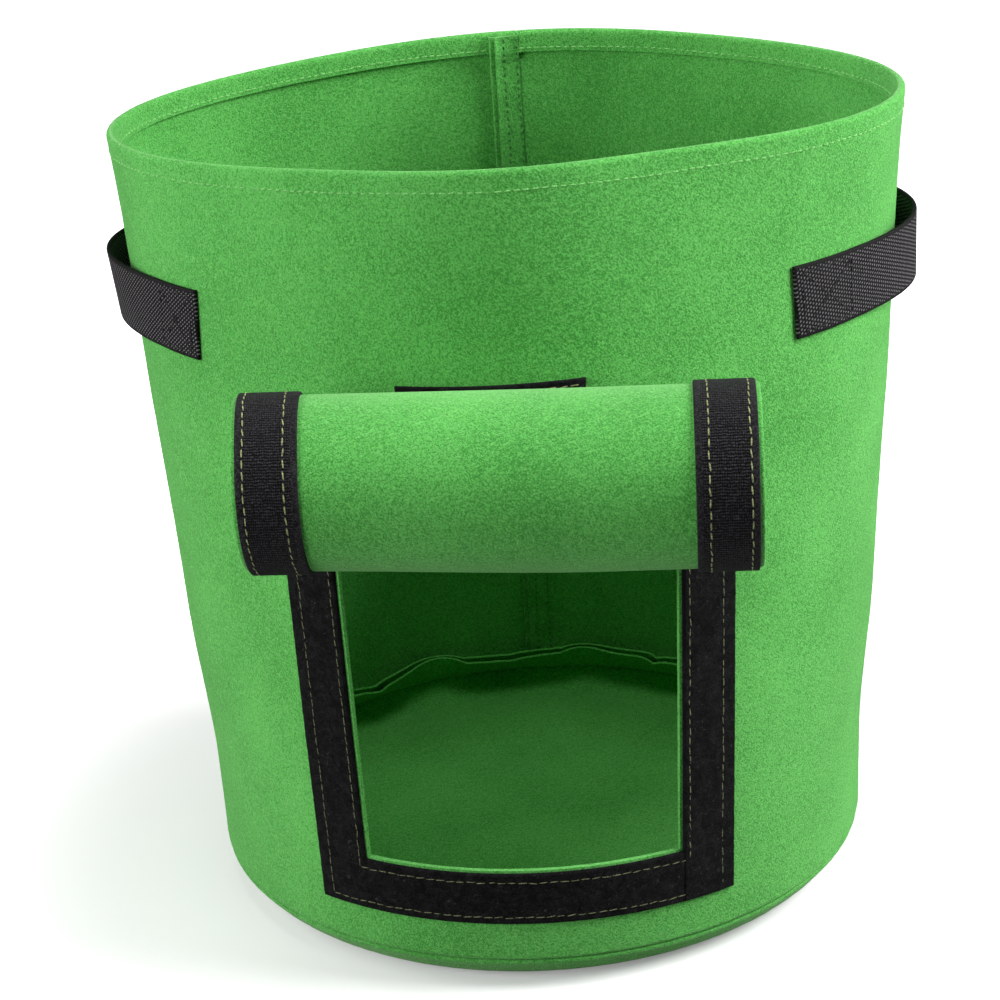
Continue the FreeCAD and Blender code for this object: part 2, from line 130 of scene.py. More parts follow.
def slab(name, top, under, ring=False, pole=False, keep=None, uvs=None, sharpAngle=50):
    # Joins two grids, a top and an underside, into one closed skin. ring closes the second
    # direction on itself, pole closes the first row to a point, and keep is False for holes.
    rows, columns = top.shape[:2]
    across = columns if ring else columns - 1
    if keep is None:
        keep = np.ones((rows - 1, across), bool)
    index = np.arange(rows * columns).reshape(rows, columns)
    if pole:
        index[0] = 0
    if ring:
        index = np.concatenate([index, index[:, :1]], axis=1)
    low = rows * columns
    a, b, c, d = index[:-1, :-1], index[:-1, 1:], index[1:, 1:], index[1:, :-1]
    quads = [np.stack([a, b, c, d], -1)[keep]]
    quads.append(np.roll(quads[0][:, ::-1], 2, axis=1) + low)
    # the strip round every edge: a kept cell whose neighbour before or behind it is not kept
    for grid, kept, turned in ((index, keep, 1), (index.T, keep.T, -1)):
        spread = np.pad(kept, ((1, 1), (0, 0)))
        if ring and turned < 0:
            spread[0], spread[-1] = kept[-1], kept[0]
        for inside, outside, order in ((spread[1:], spread[:-1], 1), (spread[:-1], spread[1:], -1)):
            i, j = np.nonzero(inside & ~outside)
            if pole and turned > 0:
                i, j = i[i > 0], j[i > 0]
            first, second = (grid[i, j], grid[i, j + 1])[::order * turned]
            quads.append(np.stack([second, first, first + low, second + low], -1))
    points = np.concatenate([top.reshape(-1, 3), under.reshape(-1, 3)])
    if uvs is not None:
        uvs = np.concatenate([uvs.reshape(-1, 2)] * 2)
    return buildMesh(name, points, np.concatenate(quads), uvs=uvs, sharpAngle=sharpAngle)


def gridOf(us, vs):
    return np.meshgrid(us, vs, indexing="ij")


def gridNormals(points):
    # unit normals of a grid of points, from the slopes along both directions
    down, along = np.gradient(points, axis=0), np.gradient(points, axis=1)
    normals = np.cross(down, along)
    return normals / np.linalg.norm(normals, axis=-1, keepdims=True)


def edgeLines(low, high, step, rounding, roundLow=True, roundHigh=True):
    # grid lines between two limits, closer together where an edge is rounded
    close = rounding * np.array([0, 0.12, 0.35, 0.7, 1.0])
    first = low + close if roundLow else np.array([low])
    last = high - close[::-1] if roundHigh else np.array([high])
    count = max(int(round((last[0] - first[-1]) / step)), 1)
    middle = np.linspace(first[-1], last[0], count + 1)
    return np.concatenate([first[:-1], middle, last[1:]])


def quarterRound(distance, rounding):
    # share of the thickness at a distance from an edge: a quarter circle up from the thin edge
    thinEdge = 0.25
    share = np.clip(1 - distance / rounding, 0, 1)
    return thinEdge + (1 - thinEdge) * np.sqrt(1 - share ** 2)


def edgeFall(lines, rounding, roundLow=True, roundHigh=True):
    # 1 inside, falling along a quarter circle to a small share at each rounded edge
    distance = np.full(len(lines), rounding)
    if roundLow:
        distance = np.minimum(distance, lines - lines[0])
    if roundHigh:
        distance = np.minimum(distance, lines[-1] - lines)
    return quarterRound(distance, rounding)


def cubic(t, start, end, leave, arrive):
    # the cubic from start to end that leaves and arrives along two given slopes
    return ((2 * t ** 3 - 3 * t ** 2 + 1) * start + (t ** 3 - 2 * t ** 2 + t) * leave
            + (3 * t ** 2 - 2 * t ** 3) * end + (t ** 3 - t ** 2) * arrive)


def ribbon(name, surface, us, vs, thick, rounding, ends=(True, True), sides=(True, True), lift=0.0,
           bumps=0.0, seed=1, fall=None):
    # A flat tape on a surface: surface(u, v, out) gives the points that lie out millimetres
    # off it. Its upper edges are rounded, or follow fall, and bumps is how rough its face is.
    u, v = gridOf(us, vs)
    if fall is None:
        fall = np.minimum.outer(edgeFall(us, rounding, *sides), edgeFall(vs, rounding, *ends))
    rough = bumps * np.random.default_rng(seed).normal(size=u.shape)
    top, under = surface(u, v, lift + thick * fall + rough), surface(u, v, np.full_like(u, lift))
    return slab(name, top, under, uvs=np.stack([u, v], -1) * uvPerMm)


def sewnRow(surface, u, v, out):
    # a row of points out millimetres off a surface, and its normals there
    line = surface(u, v, out)
    return line, surface(u, v, out + 1.0) - line


def sewnBox(surface, corners, count, out, crossed=False):
    # rows round a box of (u, v) corners, and across it from corner to corner
    lines = list(zip(corners, corners[1:] + corners[:1]))
    if crossed:
        lines += [(corners[0], corners[2]), (corners[1], corners[3])]
    return [sewnRow(surface, *[np.linspace(a, b, count) for a, b in zip(first, last)], out)
            for first, last in lines]


def readAlong(where, steps, values):
    # rows of three numbers, read off between the steps of a line
    return np.stack([np.interp(where, steps, values[:, k]) for k in range(3)], -1)


def stitchMesh(name, rows, look):
    # each row is a line of points with their normals, each stitch a closed, half-sunk bead
    starts, ends, ups = [], [], []
    for line, normals in rows:
        steps = np.concatenate([[0], np.cumsum(np.linalg.norm(np.diff(line, axis=0), axis=1))])
        count = max(int(round(steps[-1] / look["pitch"])), 1)
        pitch = steps[-1] / count
        first = (np.arange(count) + look["gap"] / 2) * pitch
        last = (np.arange(count) + 1 - look["gap"] / 2) * pitch
        starts.append(readAlong(first, steps, line))
        ends.append(readAlong(last, steps, line))
        ups.append(readAlong((first + last) / 2, steps, normals))
    start, end, up = np.concatenate(starts), np.concatenate(ends), np.concatenate(ups)
    up /= np.linalg.norm(up, axis=1, keepdims=True)
    side = np.cross(up, end - start)
    side /= np.linalg.norm(side, axis=1, keepdims=True)
    random = np.random.default_rng(look.get("seed", 3))
    slant = look["slant"] + random.normal(size=(len(start), 1)) * look["wander"]
    start, end = start - side * slant, end + side * slant
    aside, sunk = [random.normal(size=(len(start), 1)) for _ in range(2)]
    drift = side * aside * look["wander"] - up * abs(sunk) * look.get("sink", 0.0)
    start, end = start + drift, end + drift
    sides = 6
    shares = np.array([0.05, 0.2, 0.5, 0.8, 0.95])
    around = 2 * np.pi * np.arange(sides) / sides
    girth = np.sqrt(1 - (2 * shares - 1) ** 4) * look["width"] / 2
    arch = (1 - (2 * shares - 1) ** 2) * look["arch"]
    centre = start[:, None] + (end - start)[:, None] * shares[:, None] + up[:, None] * arch[:, None]
    rings = (centre[:, :, None]
             + side[:, None, None] * (girth[:, None] * np.cos(around))[None, :, :, None]
             + up[:, None, None] * (girth[:, None] * np.sin(around) * look["flat"])[None, :, :, None])
    count, levels = len(start), len(shares)
    points = np.concatenate([rings.reshape(count, -1, 3), start[:, None], end[:, None]], axis=1)
    each = points.shape[1]
    ring = np.arange(levels * sides).reshape(levels, sides)
    turned = np.roll(ring, -1, axis=1)
    quads = np.stack([ring[:-1], turned[:-1], turned[1:], ring[1:]], -1).reshape(-1, 4)
    poles = np.concatenate([np.stack([np.full(sides, each - 2), turned[0], ring[0]], -1),
                            np.stack([np.full(sides, each - 1), ring[-1], turned[-1]], -1)])
    offset = each * np.arange(count)[:, None, None]
    return buildMesh(name, points.reshape(-1, 3), (quads + offset).reshape(-1, 4),
                     tris=(poles + offset).reshape(-1, 3), sharpAngle=180)


class Value:
    # one output of a shader tree; sums, differences and products add Math nodes
    def __init__(self, paint, socket):
        self.paint = paint
        self.socket = socket

    def __add__(self, other):
        return self.paint.maths("ADD", self, other)

    def __sub__(self, other):
        return self.paint.maths("SUBTRACT", self, other)

    def __rsub__(self, other):
        return self.paint.maths("SUBTRACT", other, self)

    def __mul__(self, other):
        return self.paint.maths("MULTIPLY", self, other)

    __radd__ = __add__
    __rmul__ = __mul__


class Paint:
    # the shader tree of a material or of the world
    def __init__(self, owner):
        owner.use_nodes = True
        self.owner = owner
        self.tree = owner.node_tree

    def give(self, node, values):
        for key, value in values.items():
            if isinstance(value, Value):
                self.tree.links.new(value.socket, node.inputs[key])
            else:
                node.inputs[key].default_value = value

    def add(self, kind, settings=None, inputs=None, output=0):
        node = self.tree.nodes.new(kind)
        for key, value in (settings or {}).items():
            setattr(node, key, value)
        self.give(node, inputs or {})
        return Value(self, node.outputs[output])

    def maths(self, operation, first, second=0.0):
        return self.add("ShaderNodeMath", {"operation": operation}, {0: first, 1: second})

    def step(self, value, low, high):
        # 0 below low, 1 above high, smooth between them
        return self.add("ShaderNodeMapRange", {"interpolation_type": "SMOOTHSTEP"},
                        {"Value": value, "From Min": low, "From Max": high})

    def mix(self, factor, low, high):
        return self.add("ShaderNodeMix", {"data_type": "RGBA"}, {0: factor, 6: low, 7: high}, output=2)

    def place(self):
        return self.add("ShaderNodeTexCoord", output="Object")

    def across(self):
        # millimetres across and along a tape, from its UV map
        flat = self.add("ShaderNodeTexCoord", output="UV")
        return [self.add("ShaderNodeSeparateXYZ", {}, {0: flat}, output=axis) * (1 / uvPerMm)
                for axis in ("X", "Y")]

    def stretched(self, point, angles, longer):
        # a pattern drawn out by a factor along one direction, the turned Z axis
        return self.add("ShaderNodeMapping", {"vector_type": "TEXTURE"},
                        {"Vector": point, "Rotation": angles, "Scale": (1, 1, longer)})

    def noise(self, point, size, detail=2.0, roughness=0.55, distortion=0.0):
        # size is the pattern's usual spacing in millimetres
        return self.add("ShaderNodeTexNoise", {}, {"Vector": point, "Scale": 1000.0 / size, "Detail": detail,
                                                   "Roughness": roughness, "Distortion": distortion})

    def rib(self, value, spacing):
        # 0 between two ribs and 1 on top of one
        return self.maths("SINE", value * (2 * math.pi / spacing)) * 0.5 + 0.5

    def dash(self, value, spacing):
        # 0 at each end of a repeat and 1 in its middle
        return 1 - self.maths("ABSOLUTE", self.maths("FRACT", value * (1 / spacing)) * 2 - 1)

    def finish(self, color, roughness, height, relief, sheen, specular, more=None):
        bump = self.add("ShaderNodeBump", {}, {"Height": height, "Distance": relief * mm, "Strength": 1.0})
        self.give(self.tree.nodes["Principled BSDF"],
                  {"Base Color": color, "Roughness": roughness, "Normal": bump, "Sheen Weight": sheen,
                   "Specular IOR Level": specular, **(more or {})})
        return self.owner


def newPaint(name):
    return Paint(bpy.data.materials.new(name))


feltLook = {
    "grain": 0.55, "clumps": 1.5, "patches": 60.0, "hairs": 0.45, "contrast": (0.38, 0.62),
    "dark": (0.036, 0.225, 0.030, 1), "light": (0.116, 0.465, 0.093, 1), "hair": (0.23, 0.66, 0.18, 1),
    "hairShare": 0.45, "relief": 0.45, "sheen": 0.25, "sheenTint": (0.72, 1.0, 0.62, 1),
}


def feltPaint(name, look):
    # needle-punched felt: fine grain drawn out one way, hairs lying every way, soft broad patches
    paint = newPaint(name)
    place = paint.place()
    slanted = paint.stretched(place, (0.0, -0.75, 0.3), 1.8)
    grain = paint.noise(slanted, look["grain"], 2.0, 0.6, 0.3)
    clumps = paint.noise(slanted, look["clumps"], 2.0, 0.6, 0.8)
    patches = paint.noise(place, look["patches"], 2.0)
    hairs = 0.0
    for angles in ((0.4, 0.2, 0.3), (1.3, 0.5, 1.7), (0.2, 1.2, 2.4)):
        streaks = paint.noise(paint.stretched(place, angles, 9.0), look["hairs"], 1.0, 0.4, 0.5)
        hairs = paint.maths("MAXIMUM", paint.step(streaks, 0.62, 0.72), hairs)
    shade = grain * 0.78 + clumps * 0.22 + patches * 0.20 - 0.10
    color = paint.mix(paint.step(shade, *look["contrast"]), look["dark"], look["light"])
    color = paint.mix(hairs * look["hairShare"], color, look["hair"])
    height = grain * 0.6 + clumps * 0.4 + hairs * 0.25
    return paint.finish(color, 0.95, height, look["relief"], look["sheen"], 0.12,
                        {"Sheen Roughness": 0.45, "Sheen Tint": look["sheenTint"]})


def loopPaint(name):
    # soft loop pile: tangled black loops with a few pale flecks of lint, with painted shade in the hollows
    # between loops and painted light on their tops
    paint = newPaint(name)
    place = paint.place()
    tangle = paint.noise(place, 1.1, 3.0, 0.65, 2.5)
    clumps = paint.noise(place, 4.5, 2.0, 0.6, 1.0)
    lint = paint.noise(paint.stretched(place, (0.7, 0.3, 0.2), 4.0), 1.2, 1.0, 0.4, 0.5)
    # painted shade: the colour follows the pile's height, darkest in the hollows and lighter on the loop tops
    paintedPileLight = paint.step(tangle + clumps * 0.5, 0.6, 1.05)
    color = paint.mix(paintedPileLight, (0.0012, 0.0012, 0.0014, 1), (0.017, 0.017, 0.018, 1))
    color = paint.mix(paint.step(lint, 0.68, 0.76) * 0.3, color, (0.07, 0.075, 0.065, 1))
    return paint.finish(color, 0.95, tangle * 0.7 + clumps * 0.6, 0.7, 0.02, 0.06)


def hookPaint(name, width):
    # hook tape: close cross ribs of stiff hooks between two smooth woven edges
    paint = newPaint(name)
    u, v = paint.across()
    speck = paint.noise(paint.place(), 0.7, 2.0, 0.6)
    wobble = paint.noise(paint.place(), 3.0, 1.0)
    fromMiddle = paint.maths("ABSOLUTE", u - width / 2)
    edge = paint.step(fromMiddle, width / 2 - 2.9, width / 2 - 2.3)
    ribs = paint.rib(v + wobble * 0.9, 1.1)
    hooks = paint.rib(u + wobble * 0.9, 0.85)
    body = ribs * (0.35 + hooks * 0.65)
    weave = paint.rib(u + v, 0.6)
    height = body * (1 - edge) + weave * edge * 0.4 + edge * 0.3
    # painted highlight: lighter grey specks of glint where the hooks would catch the light, more on the rib
    # tops
    paintedShine = paint.step(height * 0.35 + speck * 1.2, 0.62, 1.12)
    color = paint.mix(paintedShine, (0.0018, 0.0018, 0.0021, 1), (0.046, 0.043, 0.050, 1))
    return paint.finish(color, 0.8, height, 0.35, 0.02, 0.10)


def webbingPaint(name, width):
    # woven webbing: slanting ribs, each broken into short threads, that lie half a thread on
    # from those of the next rib; the two edges are woven closer
    paint = newPaint(name)
    u, v = paint.across()
    speck = paint.noise(paint.place(), 0.6, 2.0, 0.6)
    ribGap, threadLength, slope = 1.45, 1.9, math.radians(38)
    over = (u * math.cos(slope) - v * math.sin(slope)) * (1 / ribGap)
    along = v * math.cos(slope) + u * math.sin(slope)
    shift = paint.maths("FLOOR", over + 0.25) * (threadLength / 2)
    threads = paint.maths("MINIMUM", paint.dash(along + shift, threadLength) * 1.5, 1.0)
    edge = paint.step(paint.maths("ABSOLUTE", u), width / 2 - 1.6, width / 2 - 1.1)
    height = threads * paint.rib(over, 1.0) * (1 - edge) + edge * paint.rib(v, 0.9) * 0.25
    # painted highlight: thread tops and specks turn a lighter grey, as glints along the slanting ribs
    paintedGlint = paint.step(height + speck * 0.5, 0.72, 1.2)
    color = paint.mix(paintedGlint, (0.0035, 0.0032, 0.0036, 1), (0.175, 0.165, 0.175, 1))
    return paint.finish(color, 0.6, height, 0.6, 0.01, 0.12)


def threadPaint(name, dark, light):
    # twisted sewing thread
    paint = newPaint(name)
    twist = paint.noise(paint.stretched(paint.place(), (0.6, 0.6, 0.6), 3.0), 0.4, 2.0, 0.6)
    color = paint.mix(paint.step(twist, 0.35, 0.65), dark, light)
    return paint.finish(color, 0.7, twist, 0.1, 0.1, 0.2)


felt = feltPaint("felt", feltLook)
loopTape = loopPaint("loop_tape")
hookTape = hookPaint("hook_tape", 23.4)
webbing = webbingPaint("webbing", 30.0)
greenThread = threadPaint("green_thread", (0.09, 0.34, 0.07, 1), (0.26, 0.62, 0.19, 1))
# painted shade: a dark green thread that stands in for the shaded needle dimples of felt-green stitches
dimpleShadeThread = threadPaint("painted_dimple_shade_thread", (0.012, 0.085, 0.012, 1), (0.05, 0.24, 0.045, 1))
oliveThread = threadPaint("olive_thread", (0.10, 0.12, 0.045, 1), (0.34, 0.38, 0.17, 1))
dullThread = threadPaint("dull_thread", (0.05, 0.06, 0.025, 1), (0.22, 0.24, 0.12, 1))
blackThread = threadPaint("black_thread", (0.0015, 0.0015, 0.0015, 1), (0.010, 0.010, 0.011, 1))
print("materials ready")


def dress(piece, material, body=None, nodes=()):
    piece.data.materials.append(material)
    if body:
        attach(piece, body)
    if nodes:
        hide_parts(*nodes)
    return piece


def sew(name, rows, look, thread, nodes=(), body="bag"):
    return dress(stitchMesh(name, rows, look), thread, body, nodes)


wallLook = {
    "thick": 2.0, "rounding": 20.0, "flare": 1.8, "outlineTerms": 5, "rimRise": 2.5, "rimTilt": 1.5,
    "columns": 340, "windowColumns": 54, "rowStep": 6.0, "foldGap": 0.3,
    # how far the sides belly out, and the heights where that starts, is full, fades and ends
    "belly": 3.7, "bellyHeights": (55.0, 130.0, 215.0, 345.0),
    # depth of the back seam's groove, and half its width as an angle
    "groove": 0.9, "grooveHalf": 0.022,
    # what the flat sheet has more for the back seam, for the bottom seam and for the hem
    "backLap": 28.0, "footLap": 10.0, "hem": 17.0,
}
wallLow, wallHigh = cadSpan("wall_panel")
bagHeight = wallHigh[2]


def measuredOutline():
    # Least squares over the outer face of the wall's CAD node: radius = base * (1 - share)
    # + share * (sum of cosines of the angle), where share = (height / bag's height) ** flare.
    mesh = frame["nodes"]["wall_panel"].data
    outer = set()
    for face in mesh.polygons:
        if face.normal.xy.dot(face.center.xy.normalized()) > 0.9:
            outer.update(face.vertices)
    points = np.array([mesh.vertices[k].co for k in sorted(outer)]) / mm
    points = points[points[:, 2] > wallLook["rounding"] + 0.01]
    angle = np.arctan2(points[:, 0], -points[:, 1])
    share = (points[:, 2] / bagHeight) ** wallLook["flare"]
    terms = [1 - share] + [share * np.cos(n * angle) for n in range(wallLook["outlineTerms"])]
    radius = np.linalg.norm(points[:, :2], axis=1)
    found, left = np.linalg.lstsq(np.stack(terms, 1), radius, rcond=None)[:2]
    print("wall outline", np.round(found, 3), "rms", np.round(np.sqrt(left / len(radius)), 3))
    return found


outline = measuredOutline()


def wallRadius(angle, z):
    share = (np.maximum(z, 0) / bagHeight) ** wallLook["flare"]
    mouth = sum(term * np.cos(n * angle) for n, term in enumerate(outline[1:]))
    dents = 0.5 * np.sin(3 * angle + 1.1) * np.sin(z / 55) + 0.35 * np.sin(7 * angle + z / 48)
    low, full, fade, top = wallLook["bellyHeights"]
    belly = smoothStep((z - low) / (full - low)) * (1 - smoothStep((z - fade) / (top - fade)))
    belly = belly * np.sin(angle) ** 2
    # the joined edges behind pull the felt in to a narrow groove
    groove = 1 - smoothStep(2 * abs(np.cos(angle / 2)) / wallLook["grooveHalf"])
    return (outline[0] * (1 - share) + share * (mouth + dents) + wallLook["belly"] * belly
            - wallLook["groove"] * groove)


def rimRise(angle, z):
    # the rim rises a little in front and behind and dips at the sides, most on the left
    lift = wallLook["rimRise"] * np.cos(2 * angle) + wallLook["rimTilt"] * np.sin(angle)
    return lift * (np.maximum(z, 0) / bagHeight) ** 4


def wallPoint(angle, z, out=0.0):
    r = wallRadius(angle, z) + out
    return np.stack([r * np.sin(angle), -r * np.cos(angle), z + rimRise(angle, z)], -1)


def outward(angle):
    # the level direction away from the bag's axis
    return np.stack([np.sin(angle), -np.cos(angle), 0 * angle], -1)


def frontAngle(x, z):
    # angle round the bag at which the front wall has this x
    angle = np.asarray(x) / outline[0] + 0 * z
    for _ in range(12):
        angle = np.arcsin(np.clip(x / wallRadius(angle, z), -0.99, 0.99))
    return angle


def frontPoint(x, z, out=0.0):
    return wallPoint(frontAngle(x, z), z, out)


# The opening, from the boxes of the tapes round it.
sideLow, sideHigh = cadSpan("frame_tape_left")
lowLow, lowHigh = cadSpan("frame_tape_bottom")
hingeOverWindow = 18.0
tapeLook = {"inset": 1.0, "thick": 1.6, "rounding": 0.9, "outerRow": 5.4, "innerRow": 2.3, "footOuter": 3.5,
            "footInner": 3.9, "gap": 0.2}
windowBottom = lowHigh[2] + tapeLook["inset"]
windowTop = joints["flap_unroll"]["pos_m"][2] / mm - hingeOverWindow
halfAtTape = -lowLow[0] - tapeLook["inset"]
halfAtFoot = -sideHigh[0] - tapeLook["inset"]
windowLean = (halfAtTape - halfAtFoot) / (lowHigh[2] - sideLow[2])


def windowHalf(z):
    return halfAtTape + (z - lowHigh[2]) * windowLean


seamLook = {
    # seam between the wall and the bottom: how deep it pinches in, and its two standing layers,
    # each with its length, its lean in degrees and how much that lean wavers round the bag, and
    # how thin they are pressed at their free edges
    "pinch": 1.9, "gap": 1.04, "wall": (15.0, 62.0, 12.0), "disc": (16.0, 54.0, 12.5), "columns": 340,
    "edgeThick": 1.1,
}
seamLevel = wallLow[2]


def ringWaves(angle):
    # the free edges of the seam stand up in uneven waves with a few sharp dips
    slow = 0.6 * np.sin(9 * angle + 0.4) + 0.5 * np.sin(14 * angle + 2.0) + 0.3 * np.sin(23 * angle + 1.0)
    dips = np.abs(np.sin(5.5 * angle + 0.7)) ** 0.6 + np.abs(np.sin(8.5 * angle + 1.9)) ** 0.6
    return slow + 1.1 * (dips - 1.4)


def allowance(angle, side):
    # One layer of the seam allowance, as offset from the wall's face, height and normal: it
    # leaves the seam level, then bends up to its lean, a running sum of small steps.
    length, lean, wavers = seamLook["wall" if side > 0 else "disc"]
    t = length * np.linspace(0, 1, 12)[:, None]
    extra = 9.0 * smoothStep(np.sin(3 * angle + 1.2) * 2 - 0.6) * (side > 0)
    lean = np.radians(lean + wavers * ringWaves(angle) + extra) * smoothStep(t / 7) + 0 * angle
    step = np.diff(t, axis=0, prepend=0)
    offset = -seamLook["pinch"] - np.cumsum(step * np.cos(lean), axis=0)
    z = seamLevel + np.cumsum(step * np.sin(lean), axis=0)
    outR, outZ = np.sin(lean), np.cos(lean)
    return offset + outR * side * seamLook["gap"], z + outZ * side * seamLook["gap"], outR, outZ


def profileRows(rows, angle):
    # rows of four numbers, each as wide as the ring
    return [np.array(column)[:, None] + 0 * angle for column in zip(*rows)]


def sheetSkins(angle, offset, z, outR, outZ, thick, seed):
    # both sides of a sheet whose middle and normals are given in the wall's own section
    rough = np.random.default_rng(seed).normal(size=offset.shape) * 0.05
    skins = []
    for side in (1, -1):
        r = np.maximum(wallRadius(angle, np.maximum(z, wallLook["rounding"])) + offset, 0)
        r = np.where(offset > -outline[0] + 0.01, r + outR * side * thick / 2 + rough, 0)
        skins.append(np.stack([r * np.sin(angle), -r * np.cos(angle),
                               z + outZ * side * thick / 2 + rimRise(angle, z)], -1))
    return skins


def makeWall():
    # one sheet, from its free edge inside the foot out to the seam, up, and in over the rim
    look = wallLook
    half = look["thick"] / 2
    turnDepth, turnRise = seamLook["pinch"] - half, 0.8
    rows = []
    for angle in np.radians(np.linspace(80, 0, 7)):
        rows.append((-seamLook["pinch"] + turnDepth * math.cos(angle),
                     seamLevel + seamLook["gap"] + turnRise * (1 - math.sin(angle)),
                     math.cos(angle), -math.sin(angle)))
    fold = half + look["foldGap"] / 2
    foldLevel = bagHeight - half - fold
    levels = [rows[-1][1]]
    for stop in (windowBottom, windowTop, foldLevel):
        count = max(int(round((stop - levels[-1]) / look["rowStep"])), 1)
        levels.extend(np.linspace(levels[-1], stop, count + 1)[1:])
    rows.extend((-half, z, 1.0, 0.0) for z in levels[1:])
    for angle in np.radians(np.linspace(0, 180, 9))[1:]:
        rows.append((-half - fold + fold * math.cos(angle), foldLevel + fold * math.sin(angle),
                     math.cos(angle), math.sin(angle)))
    hemLow = cadSpan("top_hem_fold")[0][2]
    rows.extend((-half - 2 * fold, z, -1.0, 0.0) for z in np.linspace(foldLevel, hemLow, 4)[1:])

    share = -1 + 2 * np.arange(look["columns"])[None, :] / look["columns"]
    windowShare = look["windowColumns"] / look["columns"]
    inner = allowance(share * math.pi, 1)
    body = profileRows(rows, share)
    # the allowance's rows run outwards, so its normals turn to meet the wall's
    offset, z = [np.concatenate([a[::-1], b]) for a, b in zip(inner[:2], body[:2])]
    outR, outZ = [np.concatenate([-a[::-1], b]) for a, b in zip(inner[2:], body[2:])]
    level = np.clip(z, windowBottom, windowTop)
    edge = frontAngle(windowHalf(level), level)
    inside = share / windowShare * edge
    outside = np.sign(share) * (edge + (abs(share) - windowShare) / (1 - windowShare) * (math.pi - edge))
    angle = np.where(abs(share) <= windowShare, inside, outside)

    # the window is left out of the rows whose normals point straight outwards
    rowMiddle = (z[:-1, 0] + z[1:, 0]) / 2
    onWall = outR[:-1, 0] + outR[1:, 0] > 1.9
    inWindow = onWall & (rowMiddle > windowBottom) & (rowMiddle < windowTop)
    columnMiddle = abs(share[0] + 1 / look["columns"]) < windowShare
    thick = np.full((len(offset), 1), look["thick"])
    thick[:len(inner[0]), 0] = np.linspace(seamLook["edgeThick"], look["thick"], len(inner[0]))
    wall = slab("wall_felt", *sheetSkins(angle, offset, z, outR, outZ, thick, 5), ring=True,
                keep=~np.outer(inWindow, columnMiddle))
    dress(wall, felt, "bag", ("wall_panel", "top_hem_fold", "bottom_seam_allowance"))
    flatWidth = (2 * math.pi * outline[0] + look["backLap"]) * mm
    flatHeight = (bagHeight - seamLevel + look["footLap"] + look["hem"]) * mm
    window = (windowHalf(windowTop) + windowHalf(windowBottom)) * (windowTop - windowBottom) * mm * mm
    return wall, (flatWidth, flatHeight), flatWidth * flatHeight - window


def makeBottom():
    # a round sheet, flat on the floor, turning up to the seam and in again to its free edge
    look = wallLook
    half = look["thick"] / 2
    arc = look["rounding"] - half
    flatEnd = outline[0] - look["rounding"]
    flatRows, arcEnd = 32, -33
    rows = [(r - outline[0], half, 0.0, -1.0) for r in np.linspace(0, flatEnd, flatRows)]
    for angle in np.radians(np.linspace(-90, arcEnd, 8))[1:]:
        rows.append((-look["rounding"] + arc * math.cos(angle), look["rounding"] + arc * math.sin(angle),
                     math.cos(angle), math.sin(angle)))
    # a cubic from the end of that arc round into the seam
    turnReach, tiny = 4.0, 1e-4
    turn = (np.array(rows[-1][:2]), np.array([-seamLook["pinch"], seamLevel - seamLook["gap"]]),
            turnReach * np.array([-rows[-1][3], rows[-1][2]]), np.array([-turnReach, 0.0]))
    for t in np.linspace(0, 1, 8)[1:-1]:
        slope = cubic(t + tiny, *turn) - cubic(t - tiny, *turn)
        slope /= np.linalg.norm(slope)
        rows.append((*cubic(t, *turn), slope[1], -slope[0]))
    angle = 2 * math.pi * np.arange(seamLook["columns"])[None, :] / seamLook["columns"]
    body = profileRows(rows, angle)
    edge = allowance(angle, -1)
    offset, z, outR, outZ = [np.concatenate([a, b]) for a, b in zip(body, edge)]
    r = outline[0] + offset
    wave = 0.3 * np.sin(r / 17 + 2 * angle) * smoothStep((flatEnd - r) / 40) * smoothStep(r / 40)
    thick = np.full((len(offset), 1), look["thick"])
    thick[-len(edge[0]):, 0] = np.linspace(look["thick"], seamLook["edgeThick"], len(edge[0]))
    skins = sheetSkins(angle, offset, z, outR, outZ, thick, 6)
    skins[1][:flatRows, :, 2] += wave[:flatRows] + 0.3
    disc = slab("bottom_felt", *skins, ring=True, pole=True)
    dress(disc, felt, "bag", ("bottom_disc",))
    across = 2 * (flatEnd + math.radians(90 + arcEnd) * arc + turnReach + seamLook["disc"][0]) * mm
    math.pi * across ** 2 / 4


def makeSeamStitches():
    # a row on the upper layer of the allowance, just inside the seam
    angle = np.linspace(-math.pi, math.pi, 721)
    offset, z, outR, outZ = [rows[3] for rows in allowance(angle[None, :], 1)]
    r = wallRadius(angle, wallLook["rounding"]) + offset
    line = outward(angle) * r[:, None] + np.stack([0 * z, 0 * z, z], -1)
    normals = outward(angle) * outR[:, None] + np.stack([0 * z, 0 * z, outZ], -1)
    line += normals * (wallLook["thick"] / 2 + 0.05)
    # the dark thread is painted shade for the needle dimples
    sew("bottom_seam_stitches", [(line, normals)], feltStitch, dimpleShadeThread, ("bottom_seam_thread",))


feltStitch = {"pitch": 3.6, "gap": 0.3, "width": 0.6, "flat": 0.7, "arch": 0.1, "slant": 0.05, "wander": 0.06}
wall, wallFlat, wallArea = makeWall()
makeBottom()
makeSeamStitches()
print("wall and bottom made")


def backPoint(x, z, out=0.0):
    # a point inside the back wall, out millimetres off its inner face
    angle = math.pi - np.arcsin(np.clip(x / wallRadius(math.pi, z), -1, 1))
    return wallPoint(angle, z, -wallLook["thick"] - out)


